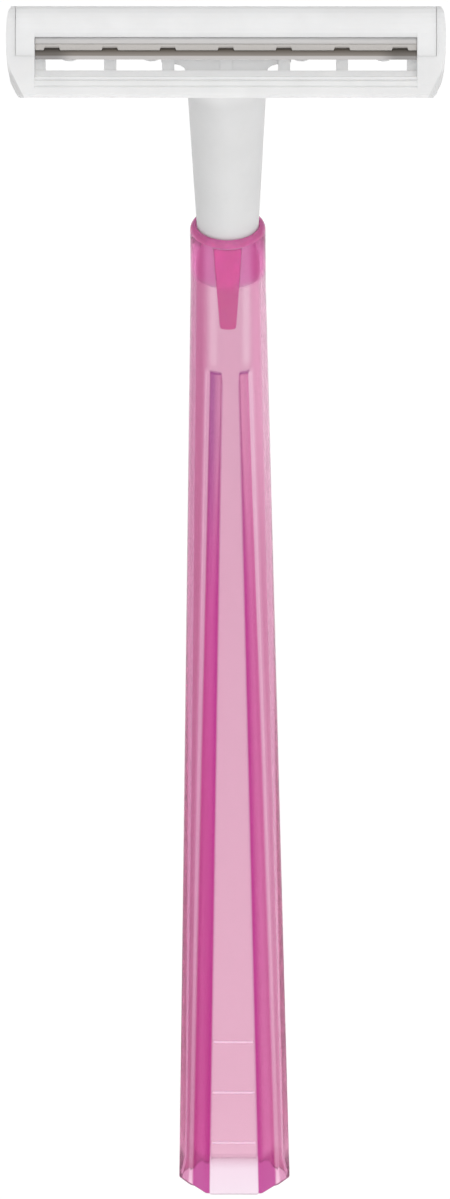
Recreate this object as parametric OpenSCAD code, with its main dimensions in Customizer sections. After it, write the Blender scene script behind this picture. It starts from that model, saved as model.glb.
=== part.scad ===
// Fixed-head disposable razor: hollow moulded handle, one-piece head frame with neck and plug,
// two blades with a spacer between them, and a riveted top cap.
// Millimetres, +Z up along the handle axis, the shaving side faces -Y.
// The origin is the centre of the round collar at the top of the handle.

/* [Handle] */

// Radius of the round collar at the top of the handle
collar_r = 3.65; // [3.2:0.05:4.2]
// Length of the round collar
collar_len = 5.8; // [3:0.1:8]
// Height of the bevelled rim above the collar
rim_h = 0.7; // [0.3:0.1:1.2]
// Distance from the collar centre down to the open end
handle_drop = 108.3; // [80:0.1:130]
// Width of the handle at its open end
end_w = 11.1; // [9:0.1:14]
// Depth of the handle at its open end, front to back
end_d = 7.4; // [6:0.1:9]
// Width of the flat front face at the open end
end_front_w = 5.6; // [3:0.1:8]
// Wall thickness of the hollow handle
wall = 0.95; // [0.7:0.05:1.4]
// Wall thickness at the open end, where the inside is chamfered
mouth_wall = 0.4; // [0.3:0.05:0.9]
// Height of the chamfer inside the open end
mouth_h = 2.5; // [1:0.1:5]

/* [Grip] */

// Start of the sunk side strips, below the collar centre
strip_top = 11.3; // [8:0.1:30]
// Start of the front panel, below the collar centre
panel_top = 12; // [8:0.1:30]
// Half width of the grip area at its top
grip_half_top = 2.05; // [1.6:0.05:2.8]
// Half width of the grip area at the open end
grip_half_end = 4.4; // [3:0.05:5]
// Half width of the front panel at its top
panel_half_top = 0.8; // [0.5:0.02:1.5]
// Half width of the front panel at the open end
panel_half_end = 2.42; // [1.5:0.02:3.5]
// Sideways offset of the front panel at its top
panel_shift = 0.2; // [-0.4:0.05:0.4]
// How deep the side strips are sunk
strip_sunk = 0.3; // [0.1:0.05:0.4]
// How deep the front panel is sunk
panel_sunk = 0.12; // [0.05:0.01:0.3]
// Distance from the collar centre to the first cross rib on the panel
rib_first = 89.7; // [60:0.1:100]
// Spacing of the three cross ribs
rib_pitch = 6.1; // [3:0.05:10]
// Height of a cross rib above the panel
rib_rise = 0.12; // [0.05:0.01:0.3]

/* [Socket] */

// Radius of the socket that takes the neck plug
socket_r = 3.05; // [2.6:0.05:3.3]
// Depth of the plug below the collar centre
plug_drop = 1.9; // [0:0.1:6]
// Width of the key rib at its top
key_w_top = 2.55; // [1:0.05:4]
// Width of the key rib at its lower end
key_w_end = 1.5; // [1:0.05:4]
// Depth of the key rib's lower end below the collar centre
key_drop = 6.5; // [3:0.1:12]
// How far the key rib stands in from the socket wall
key_in = 0.8; // [0.3:0.05:1.2]

/* [Head] */

// Full width of the head
head_w = 42.1; // [36:0.1:48]
// Height of the head, measured along its face
head_h = 8.78; // [7:0.1:12]
// Tilt of the head face from the handle axis
head_tilt = 32; // [20:1:50]
// Distance of the head face centre in front of the handle axis
head_fwd = 4.2; // [2:0.1:8]
// Height of the head face centre above the collar centre
head_up = 25.4; // [18:0.1:35]
// Half width of the window that shows the blades
window_half = 18.3; // [14:0.1:20]
// Half width of the slot between guard and blades
slot_half = 17.3; // [12:0.1:19]
// Top edge of the guard bar, measured along the face from its centre
guard_top = -1.79; // [-3:0.05:-1]
// Number of wash-through ribs
wash_ribs = 5; // [3:2:7]
// Spacing of the wash-through ribs
wash_pitch = 5.55; // [4:0.05:8]
// Width of a wash-through rib
wash_w = 1.15; // [0.6:0.05:2]
// Thickness of the seat under the blades
seat_t = 1.8; // [1:0.1:3]

/* [Neck] */

// Growth of the neck radius per millimetre of height
neck_taper = 0.0526; // [0:0.001:0.1]
// Height where the neck starts to flare into the seat
flare_z = 20; // [14:0.1:21]
// Half width of the flare where it meets the seat
flare_half = 6.4; // [4:0.1:9]

/* [Blades] */

// Blade thickness
blade_t = 0.15; // [0.1:0.01:0.3]
// Angle between the blades and the head face
blade_angle = 24; // [15:1:30]
// Edge of the lower blade, measured along the face from its centre
edge_s = -0.8; // [-1.5:0.05:0]
// Distance between the two cutting edges, along the face
edge_span = 1.53; // [1:0.01:2]
// Width of the lower blade from its edge to its back
lower_w = 4.7; // [3:0.1:6]
// Width of the ground bevel
bevel_w = 0.38; // [0.2:0.02:0.6]
// Clearance between the blade ends and the window sides
end_gap = 0.05; // [0.02:0.01:0.2]
// Half width of a wash channel in the spacer, at the bottom
channel_half = 0.82; // [0.4:0.02:1.2]
// Depth of a wash channel into the spacer
channel_deep = 0.25; // [0.2:0.05:2]

/* [Cap] */

// Lower edge of the cap, measured along the face from its centre
cap_low = 1.37; // [1:0.01:2]
// Lower end of the cap's side arms
arm_low = -0.42; // [-0.7:0.01:0.5]
// Half width of the cap
cap_half = 20.12; // [18:0.02:21]
// Gap between the cap and the end cheeks
cap_gap = 0.03; // [0.02:0.01:0.2]
// Rivet pin radius
pin_r = 0.5; // [0.3:0.05:0.8]
// Rivet head radius
pin_head_r = 1.36; // [0.8:0.02:2]
// Rivet positions from the middle: inner pair
pin_inner = 7.2; // [5:0.05:10]
// Rivet positions from the middle: outer pair
pin_outer = 15.05; // [12:0.05:17]
// Distance of the rivets behind the lower cutting edge
pin_back = 2.7; // [2:0.05:4]

/* [Hidden] */

sb = sin(blade_angle);
cb = cos(blade_angle);
tb = tan(blade_angle);
head_half = head_w / 2;
s_low = -head_h / 2;
s_high = head_h / 2;
stack = edge_span * sb;              // height of the upper blade above the lower blade
upper_q = edge_span * cb;            // set-back of the upper edge along the blades
spacer_t = stack - blade_t;
pack_top = stack + blade_t;
pack_half = window_half - end_gap;
spacer_back = lower_w - 0.2;
upper_back = lower_w - 0.25;
lip_s = 3.72;                        // inner face of the cap's rear lip
boss_m = -seat_t - 1.2;              // rear end of the rivet bosses
pins = [-pin_outer, -pin_inner, pin_inner, pin_outer];
collar_low = -collar_len / 2;
rim_top = collar_len / 2 + rim_h;
neck_r = socket_r - 0.05;
flare_r = neck_r + neck_taper * (flare_z - rim_top);
bite = 0.01;

// Height n of a plane parallel to the blades, m above the seat, at face position s.
function plane_n(s, m = 0) = m / cb - tb * (s - edge_s);

// Front surface of cap and cheeks, from the rear edge down to the window.
function crown() = [
    [s_high, -1.6], [s_high - 0.07, -1.1], [s_high - 0.29, -0.55], [s_high - 0.69, -0.08],
    [s_high - 1.19, 0.22], [s_high - 1.69, 0.36], [s_high - 2.19, 0.4], [s_high - 2.6, 0.34]
];

// Half section of the handle's outside at the open end, shrunk by d.
function end_half(d) = [
    [end_front_w / 2 - d * 0.4, end_d / 2 - d], [end_w * 0.375 - d * 0.75, end_d * 0.3 - d * 0.7],
    [end_w / 2 - d, end_d * 0.05], [end_w / 2 - d, -end_d * 0.05],
    [end_w * 0.375 - d * 0.75, -end_d * 0.3 + d * 0.7], [end_front_w / 2 - d * 0.4, -end_d / 2 + d]
];
function end_section(d) = concat(
    end_half(d),
    [for (i = [5:-1:0]) [-end_half(d)[i][0], end_half(d)[i][1]]]
);

// Head coordinates: x across, y up along the face, z out of the face.
module in_head() translate([0, -head_fwd, head_up]) rotate([90 - head_tilt, 0, 0]) children();

// Blade coordinates: x across, y from the lower edge to its back, z out of the blades.
module in_pack() in_head() translate([0, edge_s, 0]) rotate([-blade_angle, 0, 0]) children();

// Extrudes a side profile across the head from x0 to x1.
module across(x0, x1) translate([x0, 0, 0]) rotate([90, 0, 90]) linear_extrude(x1 - x0) children();
module both_sides() { children(); mirror([1, 0, 0]) children(); }

// Four-sided prism seen from the front, tapering from half width a at z0 to half width b at z1.
module front_wedge(a, z0, b, z1, y0, y1, shift = 0)
    translate([0, y1, 0]) rotate([90, 0, 0]) linear_extrude(y1 - y0)
        polygon([[shift - a, z0], [shift + a, z0], [b, z1], [-b, z1]]);

// Handle outside below the collar, shrunk by d on every side.
module handle_loft(d) hull() {
    translate([0, 0, collar_low - bite]) cylinder(h = bite, r = collar_r - d, $fn = 64);
    translate([0, 0, -handle_drop]) linear_extrude(bite) polygon(end_section(d));
}

module grip_wedge(half_top, half_end, start, sunk, shift = 0) difference() {
    front_wedge(half_top, -start, half_end, -handle_drop - 1, -6, 0, shift);
    handle_loft(sunk);
}

module handle() color([0.87, 0.5, 0.68]) {
    difference() {
        union() {
            translate([0, 0, collar_low]) cylinder(h = collar_len, r = collar_r, $fn = 128);
            translate([0, 0, collar_len / 2])
                cylinder(h = rim_h, r1 = collar_r, r2 = socket_r + 0.12, $fn = 128);
            handle_loft(0);
        }
        // hollow inside, open at the lower end
        hull() {
            translate([0, 0, -key_drop - 1]) cylinder(h = bite, r = socket_r - 0.15, $fn = 64);
            translate([0, 0, -handle_drop - bite]) linear_extrude(bite) polygon(end_section(wall));
        }
        translate([0, 0, -key_drop - 1]) cylinder(h = key_drop + 1 + rim_top + 1, r = socket_r, $fn = 128);
        // chamfer inside the open end
        hull() {
            translate([0, 0, mouth_h - handle_drop]) linear_extrude(bite) polygon(end_section(wall + 0.02));
            translate([0, 0, -handle_drop - bite]) linear_extrude(bite) polygon(end_section(mouth_wall));
        }
        // sunk side strips and front panel
        difference() {
            grip_wedge(grip_half_top, grip_half_end, strip_top, strip_sunk);
            front_wedge(panel_half_top, -strip_top + 1, panel_half_end, -handle_drop - 1, -7, 1,
                        panel_shift);
        }
        grip_wedge(panel_half_top, panel_half_end, panel_top, panel_sunk, panel_shift);
    }
    // key rib inside the front of the socket
    intersection() {
        front_wedge(key_w_top / 2, rim_top - 1.2, key_w_end / 2, -key_drop, -collar_r + 0.3,
                    -socket_r + key_in);
        translate([0, 0, -key_drop]) cylinder(h = 20, r = socket_r + 0.3, $fn = 128);
    }
    // cross ribs near the open end
    for (i = [0:2]) {
        z = -rib_first - i * rib_pitch;
        f = (-z - panel_top) / (handle_drop - panel_top);
        half = panel_half_top + (panel_half_end - panel_half_top) * f - 0.1;
        translate([panel_shift * (1 - f) - half, -end_d / 2 + panel_sunk - rib_rise, z - 0.15])
            cube([2 * half, 0.5, 0.3]);
    }
}

// Front outline of the head, narrowed by d at the lower corners.
module head_outline(d) polygon([
    [-19.8 + d, s_low], [19.8 - d, s_low], [20.05 - d * 0.95, s_low + 0.24],
    [20.63 - d * 0.8, s_low + 1.44], [20.88 - d * 0.5, s_low + 2.6], [head_half - 0.04, s_low + 4.2],
    [head_half, s_high - 2.8], [head_half - 0.06, s_high - 1.5], [head_half - 0.2, s_high - 0.5],
    [head_half - 0.5, s_high], [-head_half + 0.5, s_high], [-head_half + 0.2, s_high - 0.5],
    [-head_half + 0.06, s_high - 1.5], [-head_half, s_high - 2.8], [-head_half + 0.04, s_low + 4.2],
    [-20.88 + d * 0.5, s_low + 2.6], [-20.63 + d * 0.8, s_low + 1.44], [-20.05 + d * 0.95, s_low + 0.24]
]);

// Outer limit of the head: full outline behind, lower corners bevelled in front.
module head_limit() {
    hull() {
        translate([0, 0, 0.5]) linear_extrude(0.05) head_outline(0.75);
        translate([0, 0, -1.1]) linear_extrude(0.05) head_outline(0);
    }
    translate([0, 0, -6]) linear_extrude(4.95) head_outline(0);
}

// Guard bar with two lengthwise ridges.
module guard_profile() polygon([
    [guard_top, -2.8], [guard_top, -0.72], [guard_top - 0.56, -0.4], [guard_top - 0.62, -0.04],
    [guard_top - 0.84, -0.02], [guard_top - 0.94, -0.2], [guard_top - 1.08, -0.04],
    [guard_top - 1.42, -0.04], [guard_top - 1.52, -0.22], [guard_top - 1.66, -0.12],
    [guard_top - 2.25, -0.22], [s_low + 0.12, -0.5], [s_low, -0.9], [s_low, -2.4], [s_low + 0.4, -2.8]
]);

// Seat under the blades with the shelf for the cap's rear lip.
module seat_profile() polygon([
    [edge_s + 0.2, plane_n(edge_s + 0.2)], [lip_s, plane_n(lip_s)], [s_high, plane_n(lip_s)],
    [s_high, plane_n(s_high, -seat_t)], [edge_s + 0.2, plane_n(edge_s + 0.2, -seat_t)]
]);

// End cheek, level with cap and guard.
module cheek_profile() polygon(concat(
    crown(),
    [[1.0, 0.34], [arm_low, 0.24], [-1.9, 0.1], [-3.0, 0.0], [s_low + 0.3, -0.25], [s_low, -0.8],
     [s_low, -2.4], [s_low + 0.4, -2.8], [edge_s, -2.8], [s_high, plane_n(s_high, -seat_t)]]
));

module head_shell() intersection() {
    head_limit();
    union() {
        across(-head_half, head_half) seat_profile();
        across(-head_half, head_half) guard_profile();
        both_sides() {
            across(cap_half + cap_gap, head_half) cheek_profile();
            // end blocks beside the guard, below the cap's arms
            intersection() {
                across(window_half, head_half) cheek_profile();
                translate([0, -10, -10]) cube([30, 10 + arm_low, 20]);
            }
            // deeper blocks that close the slot ends and floors under the arms
            across(slot_half, window_half + 1)
                polygon([[guard_top - 0.5, -1.0], [edge_s + 0.4, -0.95], [edge_s + 0.4, -2.2],
                         [guard_top - 0.5, -2.8]]);
            across(window_half, cap_half + 0.5)
                polygon([[guard_top - 0.5, plane_n(arm_low)], [arm_low + 1, plane_n(arm_low + 1)],
                         [arm_low + 1, -2.4], [guard_top - 0.5, -2.8]]);
        }
        for (i = [0:wash_ribs - 1])
            translate([(i - (wash_ribs - 1) / 2) * wash_pitch - wash_w / 2, guard_top - 0.3, -2.6])
                cube([wash_w, edge_s + 0.6 - guard_top, 1.5]);
    }
}

// Thin slice across the neck at height z: half width a, half depth b, centre y.
module neck_slice(z, a, b, y) translate([0, y, z]) scale([a, b, 1]) cylinder(h = 0.02, r = 1, $fn = 64);

// Thin slice parallel to the seat: half width a, from q0 to q1 behind the lower edge.
module seat_slice(m, a, q0, q1) in_pack()
    translate([0, (q0 + q1) / 2, m]) scale([a, (q1 - q0) / 2, 1]) cylinder(h = 0.02, r = 1, $fn = 64);

module neck_shaft() {
    translate([0, 0, -plug_drop]) cylinder(h = plug_drop + rim_top, r = neck_r, $fn = 128);
    translate([0, 0, rim_top])
        cylinder(h = flare_z + 0.1 - rim_top, r1 = neck_r, r2 = flare_r + neck_taper * 0.1, $fn = 128);
    // front of the neck running up into the back of the guard bar
    hull() {
        neck_slice(flare_z, flare_r - 0.06, flare_r - 0.06, 0);
        neck_slice(head_up - 3, flare_r + 0.1, 2.1, -flare_r + 2.05);
    }
}

module neck_flare() {
    hull() {
        neck_slice(flare_z, flare_r - 0.08, flare_r - 0.08, 0);
        seat_slice(-seat_t - 1.6, flare_half - 1.9, 0.4, 4.9);
    }
    hull() {
        seat_slice(-seat_t - 1.6, flare_half - 1.9, 0.4, 4.9);
        seat_slice(-seat_t - 0.7, flare_half - 1.2, 0.4, 5.0);
    }
    hull() {
        seat_slice(-seat_t - 0.7, flare_half - 1.2, 0.4, 5.0);
        seat_slice(-seat_t + 0.3, flare_half, 0.4, 5.3);
    }
}

// Outline of the neck where the wash slot shows it: straight, then flaring out to the seat.
function flare_side() = [
    [3.8, guard_top - 0.25], [3.9, guard_top], [4.0, -1.5], [4.4, -1.26], [5.1, -1.1], [6, -0.98]
];

module neck() difference() {
    union() {
        neck_shaft();
        neck_flare();
        in_head() translate([-6.2, guard_top - 0.1, -3.4]) cube([12.4, edge_s + 0.4 - guard_top, 2.15]);
    }
    in_head() both_sides() translate([0, 0, -12]) linear_extrude(20)
        polygon(concat(flare_side(), [[30, -0.98], [30, guard_top - 0.25]]));
}

module head_frame() color([0.93, 0.93, 0.92]) difference() {
    union() {
        in_head() head_shell();
        neck();
        in_pack() for (x = pins)
            translate([x, pin_back, boss_m]) cylinder(h = -boss_m - seat_t + 0.3, r = 1.15, $fn = 48);
    }
    // rivet holes
    in_pack() for (x = pins)
        translate([x, pin_back, boss_m - 1]) cylinder(h = 8, r = pin_r + 0.02, $fn = 48);
    // key slot in the plug
    front_wedge(key_w_top / 2 + 0.06, rim_top - 1.1, key_w_end / 2 + 0.06, -key_drop, -collar_r,
                -socket_r + key_in + 0.1);
}

// Blade section with a two-sided ground edge.
module blade_profile(w) polygon([
    [0, blade_t / 2], [bevel_w, 0], [w, 0], [w, blade_t], [bevel_w, blade_t]
]);
module pin_holes() for (x = pins)
    translate([x, pin_back, -1]) cylinder(h = 4, r = pin_r + 0.02, $fn = 48);

module lower_blade() color([0.6, 0.6, 0.62]) in_pack() difference() {
    across(-pack_half, pack_half) blade_profile(lower_w);
    pin_holes();
}

module upper_blade() color([0.72, 0.72, 0.74]) in_pack() difference() {
    translate([0, upper_q, stack]) across(-pack_half, pack_half) blade_profile(upper_back - upper_q);
    pin_holes();
}

module blade_spacer() color([0.85, 0.82, 0.76]) in_pack() difference() {
    translate([0, 0, blade_t]) across(-pack_half, pack_half) polygon([
        [0.93, 0], [0.93, 0.1], [upper_q - 0.08, spacer_t], [spacer_back, spacer_t], [spacer_back, 0]
    ]);
    pin_holes();
    // wash channels open to the front, wider at the bottom
    for (i = [-3:3]) translate([i * wash_pitch, 0.93 + channel_deep, blade_t]) rotate([90, 0, 0])
        linear_extrude(channel_deep + 1) polygon([
            [-channel_half, -0.1], [channel_half, -0.1], [channel_half, 0], [channel_half - 0.15, 0.33],
            [-channel_half + 0.15, 0.33], [-channel_half, 0]
        ]);
}

module cap() color([0.96, 0.96, 0.95]) {
    in_head() {
        // main cover over the back of the blades
        across(-window_half, window_half) polygon(concat(
            crown(),
            [[cap_low + 0.03, 0.12], [cap_low, plane_n(cap_low, pack_top) + 0.02],
             [cap_low + 0.02, plane_n(cap_low + 0.02, pack_top)], [lip_s, plane_n(lip_s, pack_top)],
             [lip_s, plane_n(lip_s)], [s_high, plane_n(lip_s)]]
        ));
        // side arms that close the window ends
        intersection() {
            both_sides() across(window_half - bite, cap_half) polygon(concat(
                crown(),
                [[1.0, 0.34], [arm_low, 0.24], [arm_low, plane_n(arm_low)], [lip_s, plane_n(lip_s)],
                 [s_high, plane_n(lip_s)]]
            ));
            head_limit();
        }
    }
    // rivet pins, clenched behind the bosses
    in_pack() for (x = pins) translate([x, pin_back, 0]) {
        translate([0, 0, boss_m - 0.1]) cylinder(h = pack_top + 0.2 - boss_m, r = pin_r, $fn = 48);
        translate([0, 0, boss_m - 0.6]) cylinder(h = 0.4, r1 = pin_head_r - 0.3, r2 = pin_head_r, $fn = 48);
        translate([0, 0, boss_m - 0.2]) cylinder(h = 0.2, r = pin_head_r, $fn = 48);
    }
}

handle();
head_frame();
lower_blade();
blade_spacer();
upper_blade();
cap();
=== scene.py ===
import math
from types import SimpleNamespace

import bpy
import numpy as np
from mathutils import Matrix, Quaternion, Vector


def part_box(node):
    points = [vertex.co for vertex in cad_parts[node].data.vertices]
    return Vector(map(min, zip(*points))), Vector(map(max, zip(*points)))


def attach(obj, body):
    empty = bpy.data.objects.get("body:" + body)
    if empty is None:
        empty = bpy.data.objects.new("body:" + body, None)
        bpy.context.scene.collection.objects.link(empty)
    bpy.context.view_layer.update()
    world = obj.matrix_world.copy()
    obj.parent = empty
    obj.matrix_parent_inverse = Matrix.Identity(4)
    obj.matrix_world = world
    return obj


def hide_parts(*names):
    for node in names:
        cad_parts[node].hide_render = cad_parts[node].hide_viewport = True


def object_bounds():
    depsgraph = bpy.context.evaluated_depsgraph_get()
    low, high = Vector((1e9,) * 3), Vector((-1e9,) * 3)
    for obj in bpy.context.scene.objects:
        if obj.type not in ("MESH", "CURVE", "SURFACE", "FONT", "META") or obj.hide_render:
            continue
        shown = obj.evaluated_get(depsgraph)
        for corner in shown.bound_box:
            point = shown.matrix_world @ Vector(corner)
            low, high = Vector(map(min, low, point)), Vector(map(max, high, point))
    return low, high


MM = 0.001
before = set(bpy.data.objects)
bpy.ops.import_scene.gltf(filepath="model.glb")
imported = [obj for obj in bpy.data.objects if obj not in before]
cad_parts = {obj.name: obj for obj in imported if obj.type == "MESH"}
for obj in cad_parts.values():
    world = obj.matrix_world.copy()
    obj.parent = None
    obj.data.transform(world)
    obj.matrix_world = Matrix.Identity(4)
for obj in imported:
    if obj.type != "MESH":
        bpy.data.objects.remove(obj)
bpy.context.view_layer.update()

# ---------------------------------------------------------------- sizes, in millimetres
handle_low, handle_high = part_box("handle")
END_Z = handle_low.z / MM               # open lower end
RIM_Z = handle_high.z / MM              # top of the rim
END_HALF = handle_high.x / MM           # half width at the open end
END_FRONT = -handle_low.y / MM          # front and back faces from the axis
COLLAR_R, COLLAR_LOW, SOCKET_R = 3.65, -2.9, 3.05  # collar and its lower end, socket
RIM_EDGE_H, RIM_EDGE_W = 0.62, 0.55     # height and width of the rounding of the rim
PLUG_LOW = -1.9                         # lower end of the neck's plug
FRONT_HALF = 2.8                        # half width of the flat front face at the open end
CORNER, INNER_CORNER = 0.32, 0.15       # rounding of the lengthwise corners, outside and inside
WALL, MOUTH_WALL, MOUTH_H = 0.95, 0.4, 2.5  # wall, and wall and height of the chamfered mouth
STRIP_TOP, PANEL_TOP = -11.3, -12.0     # upper ends of the sunk strips and of the front panel
PANEL = (0.8, 2.42)                     # half width of the front panel, top and end
PANEL_SHIFT = 0.2                       # sideways offset of the panel at its top
GRIP = (2.05, 4.4)                      # half width of the grip area, top and end
PANEL_SUNK, STRIP_SUNK = 0.12, 0.3      # depth of the panel and of the strips beside it
KEY_TOP, KEY_LOW = RIM_Z - 1.2, -6.5    # ends of the key rib in the socket
RIBS = (-89.7, -95.8, -101.9)           # cross ribs on the panel
HEAD_TILT, HEAD_FWD, HEAD_UP = math.radians(32), 4.2, 25.4  # tilt and place of the head
BLADE_ANGLE, EDGE_S = math.radians(24), -0.8  # blades' tilt in the head, lower cutting edge
NECK_TOP = 18.5                         # where the neck starts to pass into the head
BEVEL_HALF, BEVEL_SLOPE = 21.5, 0.5     # line of the head's lower corners: half width, slope
SHARP_ANGLE = 35.0                      # degrees; edges sharper than this aren't smoothed
BACK_POINTS, HOLLOW_STEPS = 140, 1499   # points round the handle's back, steps round its hollow


# ---------------------------------------------------------------- node helpers
class Graph:
    """Short calls that add to one node tree."""

    def __init__(self, tree):
        self.tree = tree

    def add(self, kind, **props):
        node = self.tree.nodes.new(kind)
        for key, value in props.items():
            setattr(node, key, value)
        return node

    def put(self, socket, value):
        """Link an output to the socket, or set the socket's own value; a colour may leave out alpha."""
        if isinstance(value, bpy.types.NodeSocket):
            self.tree.links.new(value, socket)
        elif socket.type == "RGBA":
            socket.default_value = (*value[:3], 1.0)
        else:
            socket.default_value = value

    def math(self, op, a, b=0.0, c=0.0, clamp=False):
        node = self.add("ShaderNodeMath", operation=op, use_clamp=clamp)
        for socket, value in zip(node.inputs, (a, b, c)):
            self.put(socket, value)
        return node.outputs[0]

    def plus(self, a, b):
        return self.math("ADD", a, b)

    def minus(self, a, b):
        return self.math("SUBTRACT", a, b)

    def times(self, a, b):
        return self.math("MULTIPLY", a, b)

    def absolute(self, a):
        return self.math("ABSOLUTE", a)

    def slope(self, a, factor, start):
        """a times factor, plus start."""
        return self.math("MULTIPLY_ADD", a, factor, start)


class Material(Graph):
    """One material's node tree."""

    def __init__(self, name):
        self.mat = bpy.data.materials.new(name)
        self.mat.use_nodes = True
        super().__init__(self.mat.node_tree)
        self.bsdf = self.tree.nodes["Principled BSDF"]
        self.out = self.tree.nodes["Material Output"]

    def rise(self, value, low, high):
        """0 below low and 1 above high, smooth between."""
        node = self.add("ShaderNodeMapRange", interpolation_type="SMOOTHSTEP")
        self.put(node.inputs["Value"], value)
        self.put(node.inputs["From Min"], low)
        self.put(node.inputs["From Max"], high)
        return node.outputs[0]

    def fall(self, value, low, high):
        """1 below low and 0 above high, smooth between."""
        return self.minus(1.0, self.rise(value, low, high))

    def mix(self, factor, a, b):
        """Colour a where factor is 0, b where it is 1."""
        node = self.add("ShaderNodeMix", data_type="RGBA")
        self.put(node.inputs[0], factor)
        for socket, value in ((node.inputs[6], a), (node.inputs[7], b)):
            self.put(socket, value)
        return node.outputs[2]

    def place(self):
        """Object coordinates in millimetres: the vector, then x, y and z."""
        coords = self.add("ShaderNodeTexCoord")
        scale = self.add("ShaderNodeVectorMath", operation="SCALE")
        self.put(scale.inputs[0], coords.outputs["Object"])
        self.put(scale.inputs["Scale"], 1.0 / MM)
        split = self.add("ShaderNodeSeparateXYZ")
        self.put(split.inputs[0], scale.outputs[0])
        return scale.outputs[0], *split.outputs

    def noise(self, vector, scale, detail=3.0):
        node = self.add("ShaderNodeTexNoise")
        self.put(node.inputs["Vector"], vector)
        self.put(node.inputs["Scale"], scale)
        self.put(node.inputs["Detail"], detail)
        return node.outputs["Fac"]

    def stretch(self, vector, factors):
        node = self.add("ShaderNodeVectorMath", operation="MULTIPLY")
        self.put(node.inputs[0], vector)
        self.put(node.inputs[1], factors)
        return node.outputs[0]

    def bump(self, height, strength, distance, normal=None):
        node = self.add("ShaderNodeBump")
        self.put(node.inputs["Strength"], strength)
        self.put(node.inputs["Distance"], distance)
        self.put(node.inputs["Height"], height)
        if normal is not None:
            self.put(node.inputs["Normal"], normal)
        return node.outputs[0]

    def bevel(self, radius):
        node = self.add("ShaderNodeBevel", samples=4)
        self.put(node.inputs["Radius"], radius)
        return node.outputs[0]

    def set(self, **values):
        """Set the shader's inputs; an underscore stands for a space in a name."""
        for key, value in values.items():
            self.put(self.bsdf.inputs[key.replace("_", " ")], value)


def linear(value):
    """Linear light from a value of 0 to 255 as seen on a screen."""
    if value > 10:
        return ((value / 255 + 0.055) / 1.055) ** 2.4
    return value / 255 / 12.92


def rgb(r, g, b):
    """Linear colour from the 0 to 255 values seen on a screen."""
    return linear(r), linear(g), linear(b)


def darker(colour, factor):
    return tuple(channel * factor for channel in colour)


# ---------------------------------------------------------------- white plastic
SHADE_GREY = (0.35, 0.35, 0.35)
PLUG_PAINTED_BRIGHT = (0.98, 0.98, 0.98)


def neck_shade_mask(n, x, z):
    """Painted shade: the neck is painted a little greyer than the head, most on its left side, away
    from the light.
    """
    below = n.fall(z, NECK_TOP, NECK_TOP + 2.0)
    return n.times(below, n.slope(n.rise(x, -3.2, 0.5), -0.18, 0.38))


def corner_shade_mask(n, x, y, z):
    """Painted shade on the bevelled lower corners of the head, which face down and sideways, darker on
    the left.
    """
    sin_tilt, cos_tilt = math.sin(HEAD_TILT), math.cos(HEAD_TILT)
    up = n.slope(y, sin_tilt, sin_tilt * HEAD_FWD - cos_tilt * HEAD_UP)
    up = n.plus(up, n.times(z, cos_tilt))
    past_bevel = n.minus(n.absolute(x), n.slope(up, BEVEL_SLOPE, BEVEL_HALF))
    corner = n.times(n.rise(past_bevel, -0.05, 0.08), n.fall(up, -2.4, -1.4))
    return n.times(corner, n.slope(n.rise(x, -1.0, 1.0), -0.2, 0.42))


def white_plastic(name, colour, rough):
    """Moulded plastic with faint clouds and fine grain."""
    n = Material(name)
    vector, x, y, z = n.place()
    cloud = n.noise(vector, 0.25)
    grain = n.noise(vector, 14.0, 2.0)
    tone = n.mix(n.rise(cloud, 0.35, 0.65), colour, darker(colour, 0.965))
    # painted shade: grey mixed in on the neck's sides and on the head's lower corners
    tone = n.mix(neck_shade_mask(n, x, z), tone, SHADE_GREY)
    tone = n.mix(corner_shade_mask(n, x, y, z), tone, SHADE_GREY)
    # the plug is painted brighter inside the socket, to offset the shade there
    n.set(Base_Color=n.mix(n.rise(z, RIM_Z - 1.0, RIM_Z - 0.3), PLUG_PAINTED_BRIGHT, tone))
    n.set(Roughness=n.slope(grain, 0.12, rough), IOR=1.5)
    n.set(Subsurface_Weight=0.25, Subsurface_Scale=0.0012, Subsurface_Radius=(1.0, 0.95, 0.9))
    n.set(Normal=n.bump(grain, 0.1, 0.00004, n.bevel(0.00005)))
    return n.mat


# ---------------------------------------------------------------- blade steel and spacer
def behind_edge(n, y, z, edge):
    """Distance along the blades from a cutting edge that is itself this far behind the lower one."""
    sin_tilt, cos_tilt = math.sin(HEAD_TILT), math.cos(HEAD_TILT)
    sin_blade, cos_blade = math.sin(BLADE_ANGLE), math.cos(BLADE_ANGLE)
    along_y = cos_blade * sin_tilt + sin_blade * cos_tilt
    along_z = cos_blade * cos_tilt - sin_blade * sin_tilt
    start = along_y * HEAD_FWD - along_z * HEAD_UP - cos_blade * EDGE_S - edge
    return n.plus(n.slope(y, along_y, start), n.times(z, along_z))


def blade_steel(name, body, bevel, back, fade, edge, rough, ends):
    """Ground steel with fine lines along the strip.

    The bevel has its own tone, and between the two fade distances the body passes into the tone of the
    back, a painted shade on the lower blade, which lies under the upper one. ends says how much the
    strip's ends are in painted shade.
    """
    n = Material(name)
    vector, x, y, z = n.place()
    lines = n.noise(n.stretch(vector, (0.06, 9.0, 9.0)), 2.2, 4.0)
    distance = behind_edge(n, y, z, edge)
    face = n.mix(n.rise(lines, 0.35, 0.65), body, darker(body, 0.82))
    face = n.mix(n.rise(distance, *fade), face, back)
    colour = n.mix(n.fall(distance, 0.3, 0.42), face, bevel)
    shade = n.times(n.rise(n.absolute(x), 14.4, 16.4), ends)
    n.set(Base_Color=n.mix(shade, colour, (0.05, 0.048, 0.046)), Metallic=1.0)
    n.set(Roughness=n.slope(lines, 0.16, rough))
    n.set(Normal=n.bump(lines, 0.15, 0.00002))
    return n.mat


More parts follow.
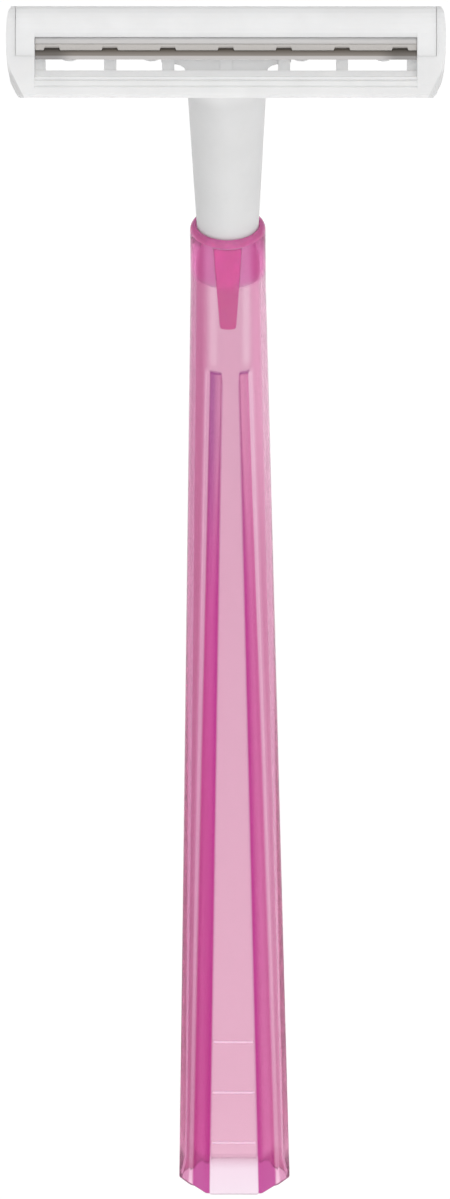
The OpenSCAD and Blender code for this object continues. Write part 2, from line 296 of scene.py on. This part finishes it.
def spacer_plastic(name, colour):
    """Moulded plastic with fine grain."""
    n = Material(name)
    grain = n.noise(n.place()[0], 9.0)
    n.set(Base_Color=n.mix(grain, colour, darker(colour, 0.85)), Roughness=0.55)
    n.set(Normal=n.bump(grain, 0.1, 0.00004, n.bevel(0.00005)))
    return n.mat


# ---------------------------------------------------------------- clear pink plastic
def handle_places(n, x, y, z):
    """Where a point lies on the handle, as outputs that the tints below share."""
    at = SimpleNamespace(x=x, z=z, across=n.absolute(x))
    at.along = n.math("DIVIDE", n.minus(PANEL_TOP, z), PANEL_TOP - END_Z, clamp=True)
    at.down = n.rise(n.times(z, -1.0), 13.0, 42.0)
    # ramp from left to right that carries the painted light and shade: the light falls from the right
    at.right = n.rise(x, -5.0, 5.0)
    at.front = n.rise(n.times(y, -1.0), 0.8, 1.4)
    at.grip = n.times(at.front, n.fall(z, STRIP_TOP - 0.12, STRIP_TOP + 0.02))
    panel_half = n.slope(at.along, PANEL[1] - PANEL[0], PANEL[0])
    grip_half = n.slope(at.along, GRIP[1] - GRIP[0], GRIP[0])
    middle = n.absolute(n.plus(x, n.slope(at.along, PANEL_SHIFT, -PANEL_SHIFT)))
    at.from_panel = n.minus(middle, panel_half)
    at.from_grip = n.minus(at.across, grip_half)
    # the right-hand strip reaches closer to the grip's edge than the left one, most at the top
    at.closer = n.times(n.math("GREATER_THAN", x, 0.0), n.slope(at.along, -0.28, 0.28))
    at.outside = n.rise(n.minus(at.from_grip, at.closer), -0.33, -0.23)
    at.last = n.fall(z, END_Z + 1.7, END_Z + 3.5)
    return at


def wall_tint(n, at):
    """The smooth wall: pale in the middle and deeper on the side lobes; the left lobe is deeper still,
    a painted shade away from the light.
    """
    half = n.slope(at.along, END_HALF - COLLAR_R, COLLAR_R)
    lobe = n.rise(n.math("DIVIDE", at.across, half), 0.5, 0.74)
    right_side = n.mix(at.down, (0.96, 0.68, 0.82), (0.86, 0.52, 0.69))
    # painted shade: the left lobe is darker, away from the light on the right
    side = n.mix(at.right, (0.76, 0.37, 0.57), right_side)
    middle = n.mix(at.along, (0.895, 0.675, 0.78), (0.955, 0.765, 0.85))
    return n.mix(lobe, middle, side)


def highlight_band_mask(n, at):
    """Painted highlight: light bands where the round top passes into the grip, stronger on the right,
    towards the light.
    """
    off_band = n.absolute(n.plus(n.absolute(n.plus(at.x, -0.17)), -1.58))
    above = n.times(n.rise(at.z, STRIP_TOP - 0.1, STRIP_TOP + 1.5), at.front)
    return n.times(n.times(n.fall(off_band, 0.1, 0.6), above), n.slope(at.right, 0.6, 0.4))


def strip_tint(n, at):
    """The sunk strips: pale at the top, deeper beside the panel and further down; the left strip is
    painted deeper than the right, a painted shade away from the light.
    """
    near = n.fall(at.from_panel, 0.08, n.slope(at.down, 0.6, 0.18))
    # painted shade: the left strip is darker than the right, away from the light
    left_pale = n.mix(n.rise(at.from_panel, 0.3, 0.9), (0.66, 0.36, 0.56), (0.43, 0.13, 0.44))
    pale = n.mix(at.right, left_pale, (0.95, 0.52, 0.70))
    pale = n.mix(near, pale, (0.60, 0.20, 0.44))
    deep = n.mix(at.right, (0.76, 0.15, 0.50), (0.82, 0.30, 0.59))
    deep = n.mix(near, deep, (0.65, 0.085, 0.42))
    tint = n.mix(at.down, pale, deep)
    tint = n.mix(n.rise(at.z, END_Z + 3.7, END_Z + 4.7), (0.60, 0.11, 0.38), tint)
    return n.mix(n.rise(at.z, STRIP_TOP - 0.4, STRIP_TOP - 0.2), tint, (0.40, 0.10, 0.36))


def panel_line_mask(n, at):
    """Darker line along the edge of the front panel."""
    line = n.fall(n.absolute(at.from_panel), 0.03, 0.12)
    upper = n.times(n.fall(at.z, PANEL_TOP - 0.1, PANEL_TOP), at.front)
    return n.times(line, n.times(upper, 0.5))


def pink_plastic(name):
    """Clear pink plastic; the tint deepens in the sunk strips, on the side lobes and at the collar."""
    n = Material(name)
    vector, x, y, z = n.place()
    at = handle_places(n, x, y, z)
    # painted highlight along the bands where the round top meets the grip
    colour = n.mix(highlight_band_mask(n, at), wall_tint(n, at), (1.0, 0.90, 0.95))
    strip = n.times(n.rise(at.from_panel, -0.05, 0.1), n.minus(1.0, at.outside))
    colour = n.mix(n.times(strip, at.grip), colour, strip_tint(n, at))
    colour = n.mix(panel_line_mask(n, at), colour, (0.55, 0.16, 0.42))
    # the last few millimetres show the front wall alone, so they are tinted more
    colour = n.mix(n.times(n.times(at.last, at.outside), 0.7), colour, (0.72, 0.28, 0.50))
    # painted highlight: a light line along the edge of the grip
    off_edge = n.absolute(n.minus(at.from_grip, n.slope(at.closer, 0.4, -0.02)))
    edge_highlight = n.mix(at.last, (1.0, 0.90, 0.96), (0.97, 0.66, 0.82))
    colour = n.mix(n.times(n.fall(off_edge, 0.12, 0.26), at.grip), colour, edge_highlight)
    # the front panel fades towards the open end
    end = n.times(n.fall(z, END_Z + 4.5, END_Z + 4.7), n.fall(at.from_panel, -0.05, 0.05))
    fading = n.mix(n.rise(z, END_Z + 2.8, END_Z + 4.5), (0.97, 0.84, 0.93), (0.80, 0.57, 0.68))
    colour = n.mix(n.times(end, at.grip), colour, fading)
    collar = n.mix(n.rise(at.across, 1.9, 2.7), (1.0, 0.56, 0.83), (0.90, 0.30, 0.64))
    n.set(Base_Color=n.mix(n.rise(z, PLUG_LOW, PLUG_LOW + 0.6), colour, collar))
    flow = n.noise(n.stretch(vector, (1.0, 1.0, 0.12)), 0.5)
    n.set(Roughness=n.slope(flow, 0.1, 0.13), Normal=n.bump(flow, 0.1, 0.0002))
    n.set(Transmission_Weight=0.88, IOR=1.2)
    volume = n.add("ShaderNodeVolumeAbsorption")
    n.put(volume.inputs["Color"], (0.88, 0.02, 0.46))
    n.put(volume.inputs["Density"], 90.0)
    n.put(n.out.inputs["Volume"], volume.outputs[0])
    return n.mat


def deep_pink(name, colour, low, transmission, painted_glow):
    """The same plastic where it is thick and passes little light; low is its colour below the plug, and
    the glow is a faint emission that stands in for light, painted light.
    """
    n = Material(name)
    vector, x, y, z = n.place()
    flow = n.noise(n.stretch(vector, (1.0, 1.0, 0.4)), 1.2)
    tone = n.mix(n.rise(flow, 0.35, 0.65), colour, darker(colour, 0.88))
    n.set(Base_Color=n.mix(n.rise(z, PLUG_LOW - 0.3, PLUG_LOW + 0.5), low, tone))
    n.set(Roughness=n.slope(flow, 0.1, 0.2), IOR=1.45, Transmission_Weight=transmission)
    n.set(Subsurface_Weight=0.2, Subsurface_Scale=0.001)
    n.set(Emission_Color=colour, Emission_Strength=painted_glow)
    return n.mat


WHITE = white_plastic("head_white", rgb(241, 241, 241), 0.4)
CAP_WHITE = white_plastic("cap_white", rgb(246, 246, 246), 0.34)
PINK = pink_plastic("handle_pink")
# the key rib's faint glow is painted light
KEY_PINK = deep_pink("key_pink", (1.0, 0.15, 0.62), (1.0, 0.02, 0.56), 0.0, 0.02)
RIM_PINK = deep_pink("rim_pink", (0.74, 0.16, 0.42), (0.74, 0.16, 0.42), 0.2, 0.0)
# the cross ribs' pale tint and faint glow are a painted highlight
RIB_HIGHLIGHT_PINK = deep_pink("rib_highlight_pink", (1.0, 0.62, 0.80), (1.0, 0.62, 0.80), 0.0, 0.04)
# the lower blade's dark body and back are painted shade under the upper blade and the cap; the upper
# blade is the lit copy of the same steel
SHADED_LOWER_STEEL = blade_steel("lower_steel_shaded", body=rgb(132, 126, 120), bevel=rgb(176, 173, 172),
                          back=rgb(92, 86, 80), fade=(0.45, 1.0), edge=0.0, rough=0.24, ends=0.45)
UPPER_STEEL = blade_steel("upper_steel", body=rgb(206, 205, 205), bevel=rgb(198, 196, 195),
                          back=rgb(206, 206, 207), fade=(0.4, 0.8), edge=1.4, rough=0.42, ends=0.05)
BEIGE = spacer_plastic("spacer_beige", rgb(206, 202, 198))


# ---------------------------------------------------------------- mesh helpers
def mesh_object(name, verts, faces, mat):
    """Object from millimetre points, smooth apart from its sharp edges."""
    mesh = bpy.data.meshes.new(name)
    mesh.from_pydata([tuple(float(c) * MM for c in v) for v in verts], [], faces)
    mesh.validate()
    obj = bpy.data.objects.new(name, mesh)
    bpy.context.collection.objects.link(obj)
    mesh.materials.append(mat)
    for poly in mesh.polygons:
        poly.use_smooth = True
    mesh.set_sharp_from_angle(angle=math.radians(SHARP_ANGLE))
    return obj


def rings_to_faces(rings, closed=False):
    """Quads between rings of equal length; closed joins the last ring to the first."""
    count, faces = len(rings[0]), []
    pairs = len(rings) if closed else len(rings) - 1
    for r in range(pairs):
        a, b = r * count, ((r + 1) % len(rings)) * count
        for i in range(count):
            j = (i + 1) % count
            faces.append((a + i, b + i, b + j, a + j))
    return faces


def bar_object(name, rings, mat):
    """Solid bar through its rings, with a flat face at each end."""
    count, last = len(rings[0]), len(rings) - 1
    faces = rings_to_faces(rings)
    faces.append(tuple(range(count)))
    faces.append(tuple(reversed(range(count * last, count * (last + 1)))))
    return mesh_object(name, np.vstack(rings), faces, mat)


def clamp01(value):
    return min(max(value, 0.0), 1.0)


# ---------------------------------------------------------------- handle
def end_polygon(d):
    """The handle's outline at the open end, shrunk by d."""
    right = [(FRONT_HALF - d * 0.4, END_FRONT - d),
             (END_HALF * 0.75 - d * 0.75, END_FRONT * 0.6 - d * 0.7),
             (END_HALF - d, END_FRONT * 0.1)]
    right += [(x, -y) for x, y in reversed(right)]
    return np.array(right + [(-x, y) for x, y in reversed(right)])


# directions every quarter of a degree, for the dense outlines
ANGLES = np.linspace(-math.pi, math.pi, 1441)[:-1]
NORMALS = np.stack([np.cos(ANGLES), np.sin(ANGLES)], 1)


def outline(z, top_r, inset, corner):
    """Dense outline between the collar's circle and the faceted open end."""
    t = clamp01((COLLAR_LOW - z) / (COLLAR_LOW - END_Z))
    poly = end_polygon(inset + corner)
    support = poly[np.argmax(NORMALS @ poly.T, axis=1)]
    return ((1 - t) * top_r + t * corner) * NORMALS + t * support


def grip_halves(z):
    """Half widths of the front panel and of the grip area at height z."""
    t = clamp01((PANEL_TOP - z) / (PANEL_TOP - END_Z))
    return PANEL[0] + (PANEL[1] - PANEL[0]) * t, GRIP[0] + (GRIP[1] - GRIP[0]) * t


def panel_middle(z):
    """Sideways place of the front panel's middle at height z."""
    return PANEL_SHIFT * clamp01((z - END_Z) / (PANEL_TOP - END_Z))


def front_columns(z, wide, side):
    """Positions across one side of the front and how deep each is sunk, from the middle outwards."""
    panel, grip = grip_halves(z)
    panel += side * panel_middle(z)
    strip_deep = clamp01((STRIP_TOP + 0.08 - z) / 0.16) * STRIP_SUNK
    panel_deep = clamp01((PANEL_TOP + 0.06 - z) / 0.14) * PANEL_SUNK
    floor_start, floor_end, edge = panel + 0.08, grip - 0.35, grip + 0.02
    columns = [(f * panel, panel_deep) for f in (0.0, 0.3, 0.6, 0.85)]
    columns += [(panel - 0.05, panel_deep), (floor_start, strip_deep)]
    floor_w = floor_end - floor_start
    columns += [(floor_start + f * floor_w, strip_deep) for f in (0.2, 0.4, 0.6, 0.8, 1.0)]
    columns += [(edge, 0.0)]
    columns += [(edge + f * (wide - edge), 0.0) for f in (0.12, 0.3, 0.5, 0.75, 1.0)]
    return columns


def along_path(path, count):
    """Points at equal steps along a path of (x, y) points, both ends included."""
    step = np.r_[0, np.cumsum(np.linalg.norm(np.diff(path, axis=0), axis=1))]
    want = np.linspace(0, step[-1], count)
    return np.column_stack([np.interp(want, step, path[:, 0]), np.interp(want, step, path[:, 1])])


def outer_ring(z, shrink=0.0):
    """Outside of the handle at height z: the modelled front, then evenly round the back."""
    ring = outline(z, COLLAR_R, 0.0, CORNER)
    front = ring[ring[:, 1] <= 0.0]
    front = front[np.argsort(front[:, 0], kind="stable")]
    wide = 0.92 * ring[:, 0].max()
    left, right = front_columns(z, wide, -1), front_columns(z, wide, 1)
    xs = [-x for x, deep in reversed(left[1:])] + [x for x, deep in right]
    sunk = [deep for x, deep in reversed(left[1:])] + [deep for x, deep in right]
    ys = np.interp(xs, front[:, 0], front[:, 1]) + np.array(sunk)
    face = np.column_stack([xs, ys])
    # the rest of the outline, from the right end of the front round the back to its left end
    start = np.argmin((ring[:, 0] - wide) ** 2 + (ring[:, 1] - ys[-1]) ** 2)
    around = np.roll(ring, -start, axis=0)
    stop = np.argmin((around[:, 0] + wide) ** 2 + (around[:, 1] - ys[0]) ** 2)
    path = np.vstack([face[-1], around[1:stop], face[0]])
    points = np.vstack([face, along_path(path, BACK_POINTS + 2)[1:-1]])
    if shrink:
        points = points * (1 - shrink / np.linalg.norm(points, axis=1))[:, None]
    return np.column_stack([points, np.full(len(points), z)])


def inner_ring(z, like):
    """Hollow's outline at height z, one point for each point of the ring outside it."""
    angles = np.arctan2(like[:, 1], like[:, 0])
    if z > COLLAR_LOW:
        r = np.full(len(angles), SOCKET_R)
    else:
        wall = MOUTH_WALL + (WALL - MOUTH_WALL) * min((z - END_Z) / MOUTH_H, 1.0)
        ring = outline(z, SOCKET_R, wall, INNER_CORNER)
        ring = along_path(np.vstack([ring, ring[:1]]), HOLLOW_STEPS + 1)[:-1]
        polar, radius = np.arctan2(ring[:, 1], ring[:, 0]), np.linalg.norm(ring, axis=1)
        order = np.argsort(polar)
        r = np.interp(angles, polar[order], radius[order], period=2 * math.pi)
    return np.column_stack([r * np.cos(angles), r * np.sin(angles), np.full(len(angles), z)])


def rim_rings():
    """Rounded rim, from its inner edge outwards."""
    rings = []
    for a in range(0, 91, 15):
        ring = outer_ring(0.0)
        ring = ring * (1 - RIM_EDGE_W * (1 - math.sin(math.radians(a))) / COLLAR_R)
        ring[:, 2] = RIM_Z - RIM_EDGE_H * (1 - math.cos(math.radians(a)))
        rings.append(ring)
    return rings


def outside_rings():
    """From the collar down to the open end's rounded edge, close together where a step starts."""
    levels = [1.2, 0.0, COLLAR_LOW, -5.0, -8.0, -10.5]
    levels += [STRIP_TOP + d for d in (0.1, 0.06, 0.0, -0.06, -0.1, -0.4)]
    levels += [PANEL_TOP + d for d in (0.08, 0.03, -0.03, -0.08, -0.4, -2.8)]
    levels += [-22.0, -30.0, -40.0, -50.0, -60.0, -70.0, -80.0, -86.0]
    levels += [-93.0, -99.0, -106.5, END_Z + 0.25, END_Z + 0.1]
    rings = [outer_ring(z) for z in levels]
    return rings + [outer_ring(END_Z + 0.03, 0.04), outer_ring(END_Z, 0.12)]


def inside_rings():
    """Hollow, from the open end up to the mouth of the socket."""
    base, top = outer_ring(END_Z), outer_ring(0.0)
    rings = [inner_ring(END_Z, base), inner_ring(END_Z + 0.2, base)]
    levels = [END_Z + MOUTH_H, -100.0, -85.0, -70.0, -55.0, -40.0, -25.0, -15.0, -10.0, -6.0]
    rings += [inner_ring(z, outer_ring(z)) for z in (*levels, COLLAR_LOW)]
    return rings + [inner_ring(0.0, top), inner_ring(RIM_Z - 0.1, top)]


def make_handle():
    """Detailed shell; its rim, from the socket's edge to the outer edge, has the deeper pink."""
    rim = rim_rings()
    rings = rim + outside_rings() + inside_rings()
    obj = mesh_object("handle_shell", np.vstack(rings), rings_to_faces(rings, closed=True), PINK)
    obj.data.materials.append(RIM_PINK)
    count = len(rings[0])
    for poly in obj.data.polygons:
        if poly.index < (len(rim) - 1) * count or poly.index >= (len(rings) - 1) * count:
            poly.material_index = 1
    return obj


handle = make_handle()
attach(handle, "root")
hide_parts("handle")


def key_ring(z, half, deep):
    """Section of the key rib against the socket's front wall, with rounded corners."""
    ring = []
    for a in range(0, 360, 15):
        c, s = math.cos(math.radians(a)), math.sin(math.radians(a))
        x = half * math.copysign(abs(c) ** 0.25, c)
        y = deep / 2 * math.copysign(abs(s) ** 0.25, s)
        ring.append((x, -math.sqrt(SOCKET_R**2 - x * x) + 0.03 + deep / 2 + y, z))
    return np.array(ring)


def make_key():
    """Wedge-shaped key rib on the inside of the socket."""
    # each section's height, half width and depth
    sections = ((KEY_TOP, 1.1, 0.5), (KEY_TOP - 0.05, 1.26, 0.74), (KEY_TOP - 0.3, 1.32, 0.8),
                (KEY_LOW + 0.3, 0.79, 0.8), (KEY_LOW + 0.05, 0.71, 0.72), (KEY_LOW, 0.5, 0.5))
    return bar_object("key_rib", [key_ring(*section) for section in sections], KEY_PINK)


key = make_key()
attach(key, "root")


def make_rib(number, z):
    """Low rounded bar across the front panel."""
    half = grip_halves(z)[0] - 0.12
    front = outline(z, COLLAR_R, 0.0, CORNER)[:, 1].min() + PANEL_SUNK
    rings = []
    for f, scale in ((-1.0, 0.3), (-0.97, 0.8), (-0.85, 1.0), (0.85, 1.0), (0.97, 0.8), (1.0, 0.3)):
        ring = []
        for a in range(0, 360, 20):
            out = 0.07 * scale * math.sin(math.radians(a))
            lift = 0.12 * scale * math.cos(math.radians(a))
            ring.append((panel_middle(z) + f * half, front - 0.02 + out, z + lift))
        rings.append(np.array(ring))
    return bar_object(f"cross_rib_{number}", rings, RIB_HIGHLIGHT_PINK)


for number, height in enumerate(RIBS, 1):
    rib = make_rib(number, height)
    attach(rib, "root")

# ---------------------------------------------------------------- CAD nodes that stay
for node, mat in (("head_frame", WHITE), ("cap", CAP_WHITE), ("lower_blade", SHADED_LOWER_STEEL),
                  ("upper_blade", UPPER_STEEL), ("blade_spacer", BEIGE)):
    for material_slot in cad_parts[node].material_slots:
        material_slot.material = mat

# ---------------------------------------------------------------- camera
AZ, EL, ROLL = math.radians(0.875), math.radians(32.7), math.radians(0.416)
LENS, SENSOR = 459.3, 36.0              # millimetres
DISTANCE, MOVE_RIGHT, MOVE_UP = 1.5, -0.0005, 0.00133  # metres

low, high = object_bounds()
centre = Vector((0.0, -0.002, (low.z + high.z) / 2))
back = Vector((math.sin(AZ) * math.cos(EL), -math.cos(AZ) * math.cos(EL), math.sin(EL)))
turn = (-back).to_track_quat("-Z", "Y")
right, up = turn @ Vector((1, 0, 0)), turn @ Vector((0, 1, 0))
camera = bpy.data.objects.new("camera", bpy.data.cameras.new("camera"))
bpy.context.collection.objects.link(camera)
camera.data.lens, camera.data.sensor_width = LENS, SENSOR
camera.data.clip_end = 50.0
camera.location = centre + back * DISTANCE + right * MOVE_RIGHT + up * MOVE_UP
camera.rotation_mode = "QUATERNION"
camera.rotation_quaternion = Quaternion(back, -ROLL) @ turn
bpy.context.scene.camera = camera
bpy.context.scene.view_settings.view_transform = "Standard"


# ---------------------------------------------------------------- floor and light
def make_floor():
    """Wide pale floor, below the lower end of the razor."""
    span, drop = 6000, -420
    look = Material("floor_pale")
    look.set(Base_Color=(0.93, 0.93, 0.93), Roughness=0.9)
    look.set(Emission_Color=(1.0, 1.0, 1.0), Emission_Strength=0.3)
    corners = [(-span, -span, drop), (span, -span, drop), (span, span, drop), (-span, span, drop)]
    return mesh_object("floor", corners, [(0, 1, 2, 3)], look.mat)


floor = make_floor()


def key_light():
    """Square soft light above the front right, aimed at the upper handle."""
    where, aim = Vector((0.4, -0.6, 0.7)), Vector((0, 0, -0.03))
    light = bpy.data.lights.new("key", "AREA")
    light.shape, light.size, light.energy = "SQUARE", 0.5, 0.3
    obj = bpy.data.objects.new("key", light)
    bpy.context.collection.objects.link(obj)
    obj.location = where
    obj.rotation_mode = "QUATERNION"
    obj.rotation_quaternion = (aim - where).to_track_quat("-Z", "Y")
    obj.visible_camera = False


def soft_surround():
    """White surround, brightest above and in front, darker at the sides, plain below the horizon."""
    world = bpy.data.worlds.new("studio")
    bpy.context.scene.world = world
    world.use_nodes = True
    n = Graph(world.node_tree)
    background = n.tree.nodes["Background"]
    n.put(background.inputs["Color"], (1.0, 1.0, 1.0))
    direction = n.add("ShaderNodeTexCoord")
    parts = n.add("ShaderNodeSeparateXYZ")
    n.put(parts.inputs[0], direction.outputs["Generated"])
    x, y, z = parts.outputs
    level = n.slope(x, 0.15, 0.57)
    level = n.slope(n.absolute(x), -0.9, level)
    level = n.slope(y, -0.42, level)
    level = n.math("MAXIMUM", n.slope(z, 0.82, level), 0.34)
    below = n.math("LESS_THAN", z, 0.0)
    n.put(background.inputs["Strength"], n.math("MAXIMUM", level, below))


key_light()
soft_surround()
